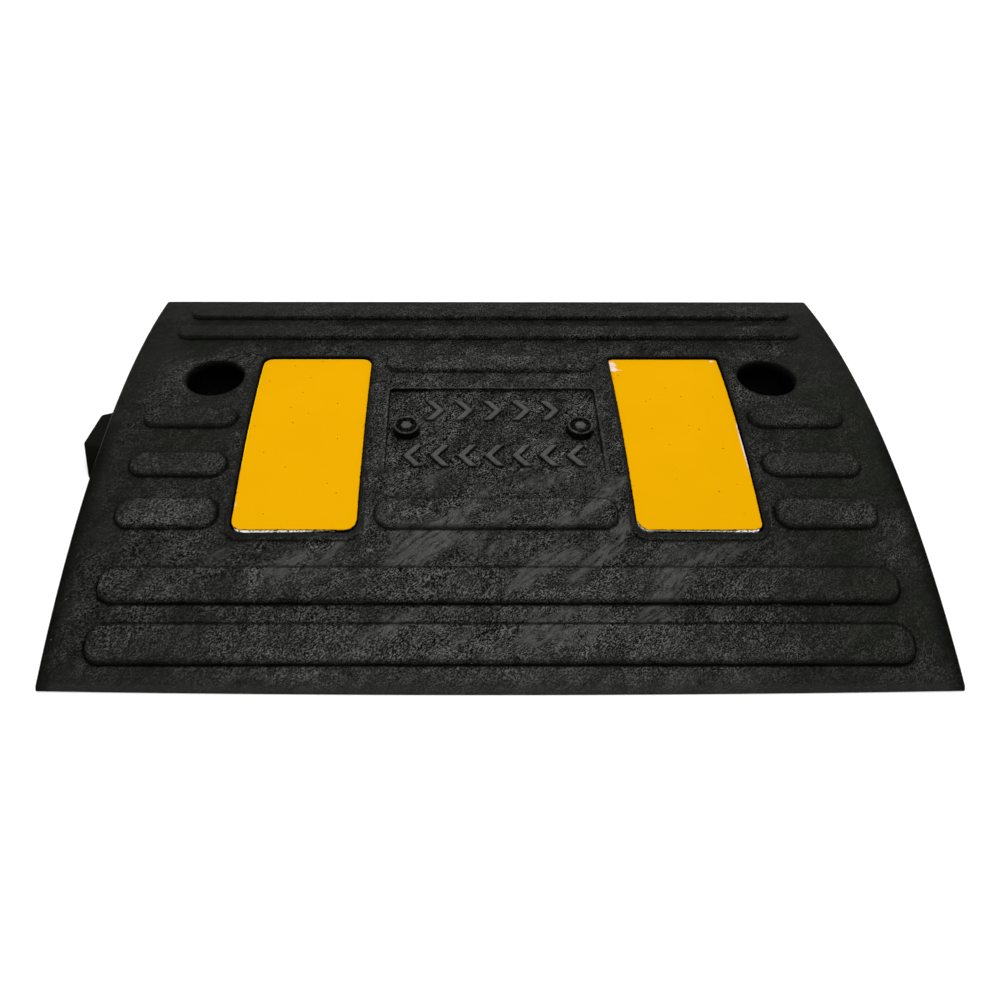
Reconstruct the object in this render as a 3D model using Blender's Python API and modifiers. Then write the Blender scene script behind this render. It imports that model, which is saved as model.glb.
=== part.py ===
"""Rubber speed bump: one modular unit of a bolt-down road hump, in metres, +Z up.

The origin is the middle of the underside. The hump's length runs along X, with the locking tongue
at the -X end and its socket at the +X end, and traffic crosses the unit along Y.
"""

import math

import bmesh
import bpy

# The rubber moulding
LENGTH = 0.500
WIDTH = 0.340
CROWN_HEIGHT = 0.0268
EDGE_HEIGHT = 0.0028
FRONT_BOW = 0.0024  # how far the front edge bulges at its middle
RISE = CROWN_HEIGHT - EDGE_HEIGHT
CROWN_RADIUS = ((WIDTH / 2) ** 2 + RISE**2) / (2 * RISE)
BEND_STEP = 0.0085  # length of one facet of the domed surface, along Y

# Raised tread ribs: name, lowest x, highest x, centre y, width
RIB_HEIGHT = 0.003
RIB_BEVEL = 0.0012
RIB_END_RADIUS = 0.0095
LONG_END = 0.2275
SIDE_ROW = (0.167, LONG_END)
CENTRE_END = 0.0725
RIBS = [
    ("front_outer", -LONG_END, LONG_END, -0.1466, 0.0224),
    ("front_inner", -LONG_END, LONG_END, -0.1126, 0.0220),
    ("back_inner", -LONG_END, LONG_END, 0.1132, 0.0180),
    ("back_outer", -0.2245, 0.2290, 0.1458, 0.0215),
    ("centre_front", -CENTRE_END, CENTRE_END, -0.0653, 0.0214),
    ("centre_back", -CENTRE_END, CENTRE_END, 0.0714, 0.0183),
]
SIDE_RIBS = [("front", -0.0653, 0.0214), ("middle", -0.0280, 0.0191), ("back", 0.0134, 0.0188)]

# Reflective panels, each in a recess inside a low raised frame
PANEL_CENTRE_X = 0.1205
PANEL_SIZE = (0.0750, 0.1560)
PANEL_Y = 0.0010
PANEL_RADIUS = 0.0075
FRAME_SIZE = (0.0815, 0.1717)
FRAME_Y = 0.0020
FRAME_RADIUS = 0.0095
FRAME_HEIGHT = 0.0008
ROOT = 0.0020  # how deep a raised shape reaches into the body that it is joined to
PANEL_SINK_FRONT = 0.0004  # the panel's face below the frame, at its front and its back end
PANEL_SINK_BACK = 0.0028
FILM_THICKNESS = 0.0007
BACKING_THICKNESS = 0.0014
FILM_INSET = 0.0009  # the film ends this far inside its backing
GAP = 0.0003

# Recessed centre plate with two rows of plain raised arrows and two screw-like bosses
PLATE_SIZE = (0.1370, 0.0764)
PLATE_Y = 0.0052
PLATE_RADIUS = 0.0030
PLATE_DEPTH_BACK = 0.0028
PLATE_DEPTH_FRONT = 0.0002
CHEVRON_SIZE = (0.0125, 0.0190)
CHEVRON_STROKE = 0.0050  # along X
CHEVRON_HEIGHT = 0.0016
CHEVRON_ROWS = [(5, 0.0190, 0.0220, 1), (7, 0.0172, -0.0195, -1)]  # count, pitch, centre y, pointing
BOSS_X = 0.0562
BOSS_Y = 0.0041
BOSS_RADIUS = 0.0081
BOSS_TOP = 0.0300
BOSS_CUP_RADIUS = 0.0066
BOSS_CUP_DEPTH = 0.0016
BOSS_ROOT = 0.0080
NUB_RADIUS = 0.0038
ROUND_SIDES = 48
SMALL_ROUND_SIDES = 32

# Bolt holes, with a steel seat washer moulded into the rubber under each counterbore
HOLE_X = 0.1895
HOLE_Y = 0.0562
COUNTERBORE_RADIUS = 0.0196
COUNTERBORE_FLOOR = 0.0080
BOLT_RADIUS = 0.0085
WASHER_RADIUS = 0.0180
WASHER_THICKNESS = 0.0025
WASHER_BOTTOM = 0.0030

# Tongue at the -X end. Its socket at the +X end is open to the end and to the road.
TONGUE_TOP = 0.0168
TONGUE_TIP_X = -0.2664
TONGUE_SLANT = 0.0052  # how much further out the tip is at its front than at its back
TONGUE_TIP_Y = (0.0004, 0.0268)
TONGUE_ROOT_Y = (-0.0060, 0.0325)
TONGUE_DRAFT = (0.0013, 0.0092)  # the growth of the foot past the top, along X and Y
TONGUE_RADIUS = 0.0022
SOCKET_CLEARANCE = 0.0012
THROUGH = 0.005  # how far a cutter runs past the face it opens


def clear_scene():
    for obj in list(bpy.data.objects):
        bpy.data.objects.remove(obj, do_unlink=True)


def new_collection(name, hidden=False):
    collection = bpy.data.collections.new(name)
    collection.hide_render = hidden
    bpy.context.scene.collection.children.link(collection)
    return collection


def material(name, colour, roughness, metallic=0.0):
    made = bpy.data.materials.new(name)
    made.use_nodes = True
    shader = made.node_tree.nodes["Principled BSDF"]
    shader.inputs["Base Color"].default_value = (*colour, 1.0)
    shader.inputs["Roughness"].default_value = roughness
    shader.inputs["Metallic"].default_value = metallic
    return made


def add_object(name, mesh, collection, look=None):
    obj = bpy.data.objects.new(name, mesh)
    collection.objects.link(obj)
    if look:
        mesh.materials.append(look)
    if collection.hide_render:
        obj.hide_render = True
        obj.display_type = "WIRE"
    return obj


def mesh_from(name, bm):
    bmesh.ops.recalc_face_normals(bm, faces=bm.faces)
    mesh = bpy.data.meshes.new(name)
    bm.to_mesh(mesh)
    bm.free()
    return mesh


def road_z(y, above=0.0):
    """The height of the domed surface at y, plus an offset."""
    return CROWN_HEIGHT - CROWN_RADIUS + math.sqrt(CROWN_RADIUS**2 - y**2) + above


def root_z(y):
    """The height that a shape raised from the domed surface starts at, inside the body."""
    return road_z(y, -ROOT)


def above_road(y):
    """The height where a cutter that opens the domed surface ends."""
    return road_z(y, THROUGH)


def arc(centre, radius, start, end, steps):
    """Points along a circle's arc, angles in degrees."""
    for step in range(steps + 1):
        angle = math.radians(start + (end - start) * step / steps)
        yield centre[0] + radius * math.cos(angle), centre[1] + radius * math.sin(angle)


def rounded_rectangle(low_x, high_x, low_y, high_y, radius, steps=6):
    radius = min(radius, 0.499 * (high_x - low_x), 0.499 * (high_y - low_y))
    points = []
    corners = [
        (high_x - radius, high_y - radius, 0),
        (low_x + radius, high_y - radius, 90),
        (low_x + radius, low_y + radius, 180),
        (high_x - radius, low_y + radius, 270),
    ]
    for x, y, start in corners:
        points += arc((x, y), radius, start, start + 90, steps)
    return points


def centred_rectangle(centre_x, centre_y, size, radius, grow=0.0, steps=6):
    half_x, half_y = size[0] / 2 + grow, size[1] / 2 + grow
    return rounded_rectangle(
        centre_x - half_x, centre_x + half_x, centre_y - half_y, centre_y + half_y,
        radius + grow, steps,
    )


def bowed_outline():
    """The moulding seen from above: a rectangle whose front edge bulges a little."""
    half_x, half_y = LENGTH / 2, WIDTH / 2
    bow_radius = (half_x**2 + FRONT_BOW**2) / (2 * FRONT_BOW)
    half_angle = math.degrees(math.asin(half_x / bow_radius))
    centre = (0.0, bow_radius - half_y - FRONT_BOW)
    front = arc(centre, bow_radius, 270 - half_angle, 270 + half_angle, 16)
    return [(half_x, half_y), (-half_x, half_y), *front]


def slab(name, outline, low, high, collection, look=None):
    """An outline seen from above as a solid between two surfaces, each a function of y.

    It is cut along Y every BEND_STEP, so that both surfaces follow a curve.
    """
    curve = bpy.data.curves.new(name, "CURVE")
    curve.dimensions = "2D"
    curve.fill_mode = "BOTH"
    curve.extrude = 0.5
    spline = curve.splines.new("POLY")
    spline.points.add(len(outline) - 1)
    for point, (x, y) in zip(spline.points, outline):
        point.co = (x, y, 0.0, 1.0)
    spline.use_cyclic_u = True
    guide = add_object(name + "_outline", curve, collection)
    bpy.context.view_layer.update()
    graph = bpy.context.evaluated_depsgraph_get()
    mesh = bpy.data.meshes.new_from_object(guide.evaluated_get(graph))
    bpy.data.objects.remove(guide)
    bm = bmesh.new()
    bm.from_mesh(mesh)
    bpy.data.meshes.remove(mesh)
    bmesh.ops.remove_doubles(bm, verts=bm.verts, dist=1e-6)
    bmesh.ops.dissolve_limit(bm, angle_limit=math.radians(0.02), verts=bm.verts, edges=bm.edges)
    first, last = min(y for _, y in outline), max(y for _, y in outline)
    for number in range(math.ceil(first / BEND_STEP), math.floor(last / BEND_STEP) + 1):
        parts = bm.verts[:] + bm.edges[:] + bm.faces[:]
        line = (0.0, number * BEND_STEP, 0.0)
        bmesh.ops.bisect_plane(bm, geom=parts, plane_co=line, plane_no=(0, 1, 0), dist=1e-5)
    for vertex in bm.verts:
        surface = high if vertex.co.z > 0 else low
        vertex.co.z = surface(vertex.co.y)
    return add_object(name, mesh_from(name, bm), collection, look)


def cylinder(name, centre, radius, low_z, high_z, collection, sides=ROUND_SIDES):
    bm = bmesh.new()
    bmesh.ops.create_cone(
        bm, cap_ends=True, segments=sides, radius1=radius, radius2=radius, depth=high_z - low_z
    )
    bmesh.ops.translate(bm, verts=bm.verts, vec=(*centre, (low_z + high_z) / 2))
    return add_object(name, mesh_from(name, bm), collection)


def bevel(obj, width, segments=1):
    modifier = obj.modifiers.new("Rounded edges", "BEVEL")
    modifier.width = width
    modifier.segments = segments
    modifier.limit_method = "ANGLE"
    modifier.angle_limit = math.radians(40)


def boolean(obj, operation, other):
    """Joins or cuts obj with another object, or with all the objects of a collection.

    EXACT leaves a few open edges here, where the facets of two slabs end on the same line.
    """
    for operand in getattr(other, "objects", [other]):
        modifier = obj.modifiers.new(operand.name, "BOOLEAN")
        modifier.operation = operation
        modifier.solver = "MANIFOLD"
        modifier.object = operand


def panel_face(y, below=0.0):
    """The height of the reflective panel's face at y, less an offset."""
    front = PANEL_Y - PANEL_SIZE[1] / 2
    sink = PANEL_SINK_FRONT + (PANEL_SINK_BACK - PANEL_SINK_FRONT) * (y - front) / PANEL_SIZE[1]
    return road_z(y, FRAME_HEIGHT - sink - below)


def plate_floor(y, above=0.0):
    """The height of the centre plate's flat, tilted floor at y."""
    front, back = PLATE_Y - PLATE_SIZE[1] / 2, PLATE_Y + PLATE_SIZE[1] / 2
    front_z = road_z(front, -PLATE_DEPTH_FRONT)
    back_z = road_z(back, -PLATE_DEPTH_BACK)
    return front_z + (back_z - front_z) * (y - front) / (back - front) + above


def tongue_block(name, clearance, shift_x, collection):
    """The tapered tongue. With a clearance it is the shape that its socket is cut with."""
    root_x = -LENGTH / 2 + THROUGH
    tip_front = TONGUE_TIP_X - clearance
    tip_back = tip_front + TONGUE_SLANT
    low_z, high_z = -THROUGH if clearance else 0.0, TONGUE_TOP + clearance
    draft_x, draft_y = (grow * (high_z - low_z) / TONGUE_TOP for grow in TONGUE_DRAFT)
    bm = bmesh.new()
    bmesh.ops.create_cube(bm, size=2.0)
    for vertex in bm.verts:
        at_tip, at_back, on_top = vertex.co.x < 0, vertex.co.y > 0, vertex.co.z > 0
        side = 1 if at_back else -1
        x = (tip_back if at_back else tip_front) if at_tip else root_x
        y = (TONGUE_TIP_Y if at_tip else TONGUE_ROOT_Y)[at_back] + side * clearance
        if not on_top:
            x -= draft_x if at_tip else 0.0
            y += side * draft_y
        vertex.co = (x + shift_x, y, high_z if on_top else low_z)
    obj = add_object(name, mesh_from(name, bm), collection)
    bevel(obj, TONGUE_RADIUS, 2)
    return obj


def chevron(centre_x, centre_y, pointing):
    """The outline of an arrow head that points along X, or against it with pointing -1."""
    tail, tip = -CHEVRON_SIZE[0] / 2, CHEVRON_SIZE[0] / 2
    half_y = CHEVRON_SIZE[1] / 2
    arrow = [
        (tail, -half_y), (tail + CHEVRON_STROKE, -half_y), (tip, 0.0),
        (tail + CHEVRON_STROKE, half_y), (tail, half_y), (tip - CHEVRON_STROKE, 0.0),
    ]
    return [(centre_x + pointing * x, centre_y + y) for x, y in arrow]


def add_ribs(collection):
    ribs = list(RIBS)
    for name, centre_y, width in SIDE_RIBS:
        low, high = SIDE_ROW
        ribs.append((name + "_left", -high, -low, centre_y, width))
        ribs.append((name + "_right", low, high, centre_y, width))
    for name, low_x, high_x, centre_y, width in ribs:
        outline = rounded_rectangle(
            low_x, high_x, centre_y - width / 2, centre_y + width / 2, RIB_END_RADIUS
        )
        rib = slab("rib_" + name, outline, root_z, lambda y: road_z(y, RIB_HEIGHT), collection)
        bevel(rib, RIB_BEVEL)


def add_frames(collection):
    for side, sign in (("left", -1), ("right", 1)):
        outline = centred_rectangle(sign * PANEL_CENTRE_X, FRAME_Y, FRAME_SIZE, FRAME_RADIUS)
        slab("frame_" + side, outline, root_z, lambda y: road_z(y, FRAME_HEIGHT), collection)


def panel_floor(y):
    return panel_face(y, FILM_THICKNESS + BACKING_THICKNESS + 2 * GAP)


def add_cutters(collection):
    for side, sign in (("left", -1), ("right", 1)):
        outline = centred_rectangle(sign * PANEL_CENTRE_X, PANEL_Y, PANEL_SIZE, PANEL_RADIUS, GAP)
        slab("panel_recess_" + side, outline, panel_floor, above_road, collection)
        centre = (sign * HOLE_X, HOLE_Y)
        high = CROWN_HEIGHT + THROUGH
        cylinder("counterbore_" + side, centre, COUNTERBORE_RADIUS, COUNTERBORE_FLOOR, high, collection)
        cylinder("bolt_hole_" + side, centre, BOLT_RADIUS, -THROUGH, high, collection, SMALL_ROUND_SIDES)
        cylinder(
            "washer_groove_" + side, centre, WASHER_RADIUS + GAP,
            WASHER_BOTTOM - GAP, WASHER_BOTTOM + WASHER_THICKNESS + GAP, collection,
        )
    outline = centred_rectangle(0.0, PLATE_Y, PLATE_SIZE, PLATE_RADIUS, steps=4)
    slab("plate_recess", outline, plate_floor, above_road, collection)
    tongue_block("socket", SOCKET_CLEARANCE, LENGTH, collection)


def add_plate_relief(collection, cups, nubs):
    for count, pitch, centre_y, pointing in CHEVRON_ROWS:
        for number in range(count):
            outline = chevron((number - (count - 1) / 2) * pitch, centre_y, pointing)
            slab(
                f"chevron_{count}_{number}", outline,
                lambda y: plate_floor(y, -ROOT), lambda y: plate_floor(y, CHEVRON_HEIGHT), collection,
            )
    for side, sign in (("left", -1), ("right", 1)):
        centre = (sign * BOSS_X, BOSS_Y)
        low, cup, high = CROWN_HEIGHT - BOSS_ROOT, BOSS_TOP - BOSS_CUP_DEPTH, BOSS_TOP + THROUGH
        cylinder("boss_" + side, centre, BOSS_RADIUS, low, BOSS_TOP, collection, SMALL_ROUND_SIDES)
        ring = cylinder("cup_" + side, centre, BOSS_CUP_RADIUS, cup, high, cups, SMALL_ROUND_SIDES)
        nub = cylinder("nub_" + side, centre, NUB_RADIUS, low, high + THROUGH, nubs, sides=6)
        boolean(ring, "DIFFERENCE", nub)


def add_rubber_body(parts):
    raised, cuts = new_collection("raised_shapes", True), new_collection("cut_shapes", True)
    relief, cups = new_collection("plate_relief", True), new_collection("boss_cups", True)
    nubs = new_collection("boss_nubs", True)
    black = material("recycled_rubber", (0.012, 0.012, 0.012), 0.78)
    body = slab("rubber_body", bowed_outline(), lambda y: 0.0, road_z, parts, black)
    add_ribs(raised)
    add_frames(raised)
    tongue_block("tongue", 0.0, 0.0, raised)
    add_cutters(cuts)
    add_plate_relief(relief, cups, nubs)
    boolean(body, "UNION", raised)
    boolean(body, "DIFFERENCE", cuts)
    boolean(body, "UNION", relief)
    boolean(body, "DIFFERENCE", cups)


def add_reflectors(parts):
    yellow = material("reflective_yellow_film", (0.88, 0.44, 0.0), 0.35)
    white = material("white_backing", (0.85, 0.85, 0.82), 0.6)
    film_size = tuple(side - 2 * FILM_INSET for side in PANEL_SIZE)
    for side, sign in (("left", -1), ("right", 1)):
        x = sign * PANEL_CENTRE_X
        film = centred_rectangle(x, PANEL_Y, film_size, PANEL_RADIUS - FILM_INSET)
        backing = centred_rectangle(x, PANEL_Y, PANEL_SIZE, PANEL_RADIUS)
        top = FILM_THICKNESS + GAP
        slab(
            "reflector_film_" + side, film,
            lambda y: panel_face(y, FILM_THICKNESS), panel_face, parts, yellow,
        )
        slab(
            "reflector_backing_" + side, backing,
            lambda y: panel_face(y, top + BACKING_THICKNESS), lambda y: panel_face(y, top), parts, white,
        )


def add_seat_washers(parts):
    steel = material("zinc_plated_steel", (0.55, 0.55, 0.53), 0.4, 1.0)
    for side, sign in (("left", -1), ("right", 1)):
        bm = bmesh.new()
        for radius in (WASHER_RADIUS, BOLT_RADIUS):
            bmesh.ops.create_circle(bm, segments=ROUND_SIDES, radius=radius)
        bmesh.ops.bridge_loops(bm, edges=bm.edges[:])
        bmesh.ops.translate(bm, verts=bm.verts, vec=(sign * HOLE_X, HOLE_Y, WASHER_BOTTOM))
        name = "bolt_seat_washer_" + side
        washer = add_object(name, mesh_from(name, bm), parts, steel)
        thick = washer.modifiers.new("Thickness", "SOLIDIFY")
        thick.thickness = WASHER_THICKNESS
        thick.offset = 1.0


def main():
    clear_scene()
    parts = new_collection("rubber_speed_bump")
    add_rubber_body(parts)
    add_reflectors(parts)
    add_seat_washers(parts)


main()
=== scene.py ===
"""The looks of the rubber speed bump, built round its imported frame. Metres, +Z up.

The rubber moulding is remade as one fine closed mesh: its plan is triangulated along every
edge of its relief, and each point takes its height from the dome, the ribs and the recesses.
The reflective films and their backings are remade as worn sheets in the same recesses.
"""

import math

import bmesh
import bpy
import numpy as np
from mathutils import Matrix, Vector, noise
from mathutils.geometry import delaunay_2d_cdt


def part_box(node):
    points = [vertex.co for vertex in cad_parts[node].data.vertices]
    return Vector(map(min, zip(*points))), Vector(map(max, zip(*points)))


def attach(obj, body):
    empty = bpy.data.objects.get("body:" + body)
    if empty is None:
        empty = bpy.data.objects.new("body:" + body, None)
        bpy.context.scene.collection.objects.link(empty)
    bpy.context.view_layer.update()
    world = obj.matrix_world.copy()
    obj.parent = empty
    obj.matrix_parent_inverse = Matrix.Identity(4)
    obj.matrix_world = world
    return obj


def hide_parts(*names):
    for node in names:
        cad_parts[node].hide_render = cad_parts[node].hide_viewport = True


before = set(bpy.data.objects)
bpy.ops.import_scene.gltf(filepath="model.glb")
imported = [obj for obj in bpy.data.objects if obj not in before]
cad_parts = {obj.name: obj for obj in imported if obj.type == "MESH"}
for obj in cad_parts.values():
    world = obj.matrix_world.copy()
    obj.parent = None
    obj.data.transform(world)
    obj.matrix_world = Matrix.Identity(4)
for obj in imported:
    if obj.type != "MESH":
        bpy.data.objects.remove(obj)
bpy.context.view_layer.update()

# Places that come from the frame
BODY_LOW, BODY_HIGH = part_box("rubber_body")
HALF_X, HALF_Y, BOSS_TOP = BODY_HIGH
FRONT_BOW = -BODY_LOW.y - HALF_Y
SIDES = {"left": -1, "right": 1}

# The dome
EDGE_HEIGHT = 0.0028
CROWN_HEIGHT = 0.0268
RISE = CROWN_HEIGHT - EDGE_HEIGHT
CROWN_RADIUS = (HALF_Y**2 + RISE**2) / (2 * RISE)

# Raised tread ribs: lowest x, highest x, centre y, width
RIB_HEIGHT = 0.0030
RIB_END_RADIUS = 0.0095
LONG_RIBS = [
    (-0.2275, 0.2275, -0.1466, 0.0224),
    (-0.2275, 0.2275, -0.1126, 0.0220),
    (-0.2275, 0.2275, 0.1132, 0.0180),
    (-0.2245, 0.2290, 0.1458, 0.0215),
    (-0.0725, 0.0725, -0.0653, 0.0214),
    (-0.0725, 0.0725, 0.0714, 0.0183),
]
SIDE_RIBS = [(-0.0653, 0.0214), (-0.0280, 0.0191), (0.0134, 0.0188)]
SIDE_ROW = (0.1670, 0.2275)
SHORT_RIB_HALF = 0.0500  # only the side ribs have a smaller half length

# Low frames round the reflective panels, and the recesses inside them
FRAME_SIZE = (0.0815, 0.1717)
FRAME_Y = 0.0020
FRAME_RADIUS = 0.0095
FRAME_HEIGHT = 0.0008
PANEL_RADII = {"left": (0.0075, 0.0070, 0.0070, 0.0075), "right": (0.0018, 0.0028, 0.0080, 0.0050)}
PANEL_GAP = 0.0003
RECESS_MARGIN = 0.0014  # the recess runs on this far in front of the panel
PANEL_FLARE = {"left": -0.0013, "right": 0.0022}
PANEL_BACK = 0.0008  # the panel and its recess run on this far behind the CAD's
PANEL_LIFT = 0.0007  # the panel's back end stands this much higher than the CAD's
PANEL_BACK_Y = 0.0750  # where the lift is complete

# The recessed centre plate, its two rows of plain arrows and its two screw-shaped bosses
PLATE_SIZE = (0.1370, 0.0764)
PLATE_Y = 0.0052
PLATE_RADIUS = 0.0030
PLATE_DEPTH_BACK = 0.0028
PLATE_DEPTH_FRONT = 0.0002
ARROW_SIZE = (0.0125, 0.0190)
ARROW_STROKE = 0.0050
ARROW_HEIGHT = 0.0016
ARROW_ROWS = [(5, 0.0190, 0.0234, 1), (7, 0.0172, -0.0195, -1)]  # count, pitch, centre y, pointing
BOSS_X, BOSS_Y = 0.0562, 0.0041
BOSS_RADIUS = 0.0081
CUP_RADIUS = 0.0066
CUP_DEPTH = 0.0016
NUB_RADIUS = 0.0038
NUB_RISE = 0.0001

# Bolt holes
COUNTERBORE_RADIUS = 0.0196
COUNTERBORE_FLOOR = 0.0080
BOLT_RADIUS = 0.0085

# Tongue and socket
TONGUE_TOP = 0.0168
TONGUE_TIP_X = -0.2672
TONGUE_SLANT = 0.0052
TONGUE_TIP_Y = (0.0004, 0.0268)
TONGUE_ROOT_Y = (-0.0060, 0.0325)
TONGUE_DRAFT = (0.0013, 0.0092)  # the growth of the foot past the top, along X and Y
TONGUE_FRONT_DRAFT = (-0.0031, 0.0157)  # the same for the front corner of its tip
TONGUE_RADIUS = 0.0017
TONGUE_MIDDLE_Y = 0.0120
SOCKET_CLEARANCE = 0.0012
OVERLAP = 0.0050

# Cross sections of the relief's edges: distance inward from an outline, share of the full height
RIB_EDGE = [(-0.0004, 0.0), (0.0, 0.16), (0.0005, 0.58), (0.0010, 0.85), (0.0017, 0.97), (0.0026, 1.0)]
FRAME_EDGE = [(-0.0002, 0.0), (0.0001, 0.5), (0.0006, 1.0)]
ARROW_EDGE = [(-0.0003, 0.0), (0.0, 0.30), (0.0004, 0.85), (0.0009, 1.0)]
PLATE_EDGE = [(-0.0012, 0.0), (-0.0006, 0.02), (-0.0002, 0.12), (0.0001, 0.75), (0.0003, 1.0)]
PANEL_EDGE = [(-0.0012, 0.0), (-0.0006, 0.015), (-0.0002, 0.09), (0.0, 0.60), (0.0001, 1.0)]
HOLE_EDGE = [(-0.0009, 0.0), (-0.0004, 0.012), (0.0, 0.06), (0.0002, 0.40), (0.0003, 0.75), (0.0005, 1.0)]
BOSS_EDGE = [(-0.0003, 0.0), (-0.0001, 0.5), (0.0, 0.85), (0.0003, 1.0)]
NUB_EDGE = [(-0.0002, 0.0), (0.0001, 0.75), (0.0005, 1.0)]
END_DROP = [(0.0, 1.0), (0.0003, 0.50), (0.0009, 0.20), (0.0018, 0.06), (0.0032, 0.0)]
END_DROP_HEIGHT = 0.0005
LIP_DROP = [(0.0, 1.0), (0.0003, 0.60), (0.0008, 0.28), (0.0016, 0.07), (0.0026, 0.0)]
LIP_DROP_HEIGHT = 0.0012

# The mesh: the open surface's grid, the spacing along outlines, and the rows of the outer wall
FIELD_STEP = 0.0015
FIELD_JITTER = 0.18  # share of the grid's step
EDGE_ROOM = 0.45  # share of the step that the grid stays clear of edge lines
LOOP_STEP = 0.0013
WALL_ROWS = 9
MILLI = 1000.0

# The rubber's unevenness, each as depth and size: wandering edges, wrinkles, waves and pits
WANDER = [(0.00022, 0.017), (0.00030, 0.021)]
SWIRL_REACH, SWIRL_SIZE = 0.012, 0.030
WRINKLE = (0.00013, 0.0052)
WAVE = (0.00012, 0.026)
PIT = (0.0008, 0.0065)
PATCH_SIZE = 0.035


def dome(y):
    """The height of the plain domed surface at y."""
    return CROWN_HEIGHT - CROWN_RADIUS + np.sqrt(CROWN_RADIUS**2 - np.asarray(y) ** 2)


def ramp(value, full, none):
    """1 where the value is at full or past it, falling to 0 at none. Either may be the larger."""
    return np.clip((value - none) / (full - none), 0, 1)


# --- Outlines, their distances and their offsets ---


QUADRANTS = ((1, 1), (-1, 1), (-1, -1), (1, -1))


class Rounded:
    """A rounded rectangle, or a circle where both half sizes equal the radius.

    The radius may be one number, or four in the order of QUADRANTS. A flare moves the back end
    of the side that faces its sign outward.
    """

    def __init__(self, centre, half, radius, flare=0.0):
        self.centre, self.half, self.flare = centre, half, flare
        self.radii = np.minimum(np.broadcast_to(radius, 4), min(half))

    def lean(self, x, y):
        """How far the flare moves each point along X."""
        across = np.clip((x - self.centre[0]) / self.half[0] * np.sign(self.flare), 0, 1)
        back = np.clip(0.5 + (y - self.centre[1]) / (2 * self.half[1]), 0, 1)
        return self.flare * across * back

    def distance(self, x, y):
        x, y = x - self.lean(x, y) - self.centre[0], y - self.centre[1]
        quadrant = np.where(y > 0, np.where(x > 0, 0, 1), np.where(x > 0, 3, 2))
        radius = np.choose(quadrant, self.radii)
        dx, dy = np.abs(x) - self.half[0] + radius, np.abs(y) - self.half[1] + radius
        outside = np.hypot(np.maximum(dx, 0.0), np.maximum(dy, 0.0))
        return outside + np.minimum(np.maximum(dx, dy), 0.0) - radius

    def loop(self, offset=0.0, step=LOOP_STEP):
        """Points round the outline, moved outward by the offset."""
        points = []
        for corner, (sx, sy) in enumerate(QUADRANTS):
            original = self.radii[corner]
            radius = max(original + offset, 0.0002)
            reach = [half + offset - radius for half in self.half]
            centre = np.array([self.centre[0] + sx * reach[0], self.centre[1] + sy * reach[1]])
            turn_steps = max(3, math.ceil(original * math.pi / 2 / step))
            angles = np.radians(90 * corner + 90 * np.arange(turn_steps + 1) / turn_steps)
            turn = centre + radius * np.stack([np.cos(angles), np.sin(angles)], 1)
            straight = 2 * self.half[corner % 2] - original - self.radii[(corner + 1) % 4]
            runs = math.ceil(straight / step) if straight > step / 4 else 0
            if runs == 0:
                turn = turn[:-1]
            points.append(turn)
            if runs > 1:
                following = max(self.radii[(corner + 1) % 4] + offset, 0.0002)
                length = 2 * (self.half[corner % 2] + offset) - radius - following
                along = np.radians(90 * corner + 180)
                way = np.array([math.cos(along), math.sin(along)])
                points.append(turn[-1] + np.outer(length * np.arange(1, runs) / runs, way))
        points = np.concatenate(points)
        points[:, 0] += self.lean(*points.T)
        return points


class Polygon:
    """A polygon whose corners run anticlockwise."""

    def __init__(self, corners):
        self.corners = np.array(corners)

    def distance(self, x, y):
        nearest = np.full(np.shape(x), np.inf)
        inside = np.zeros(np.shape(x), bool)
        for (ax, ay), (bx, by) in zip(self.corners, np.roll(self.corners, -1, 0)):
            ex, ey = bx - ax, by - ay
            along = np.clip(((x - ax) * ex + (y - ay) * ey) / (ex**2 + ey**2), 0.0, 1.0)
            nearest = np.minimum(nearest, np.hypot(x - ax - along * ex, y - ay - along * ey))
            if ey:
                inside ^= ((ay > y) != (by > y)) & (x < ax + ex * (y - ay) / ey)
        return np.where(inside, -nearest, nearest)

    def loop(self, offset=0.0, step=LOOP_STEP):
        edges = np.roll(self.corners, -1, 0) - self.corners
        normals = np.stack([edges[:, 1], -edges[:, 0]], 1) / np.linalg.norm(edges, axis=1)[:, None]
        before = np.roll(normals, 1, 0)
        mitre = (normals + before) / (1 + np.sum(normals * before, 1))[:, None]
        corners = self.corners + offset * mitre
        points = []
        for start, end, edge in zip(corners, np.roll(corners, -1, 0), edges):
            runs = max(1, round(np.linalg.norm(edge) / step))
            points.append(start + np.outer(np.arange(runs) / runs, end - start))
        return np.concatenate(points)


def arrow(centre_x, centre_y, pointing):
    """An arrow head along X, or against it with pointing -1."""
    tail, tip, half_y = -ARROW_SIZE[0] / 2, ARROW_SIZE[0] / 2, ARROW_SIZE[1] / 2
    corners = [
        (tail, -half_y), (tail + ARROW_STROKE, -half_y), (tip, 0.0),
        (tail + ARROW_STROKE, half_y), (tail, half_y), (tip - ARROW_STROKE, 0.0),
    ]
    turned = [(centre_x + pointing * x, centre_y + y) for x, y in corners]
    return Polygon(turned if pointing > 0 else turned[::-1])


def circle(centre, radius):
    return Rounded(centre, (radius, radius), radius)


def panel_outline(side):
    """The panel's outline and its recess's, from the backing's box in the frame."""
    low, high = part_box("reflector_backing_" + side)
    centre = ((low.x + high.x) / 2, (low.y + high.y + PANEL_BACK) / 2)
    half = ((high.x - low.x) / 2, (high.y - low.y + PANEL_BACK) / 2)
    radii, flare = np.array(PANEL_RADII[side]), PANEL_FLARE[side]
    recess = Rounded(
        (centre[0], centre[1] - RECESS_MARGIN / 2),
        (half[0] + PANEL_GAP, half[1] + PANEL_GAP + RECESS_MARGIN / 2), radii + PANEL_GAP, flare,
    )
    return Rounded(centre, half, radii, flare), recess


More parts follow.
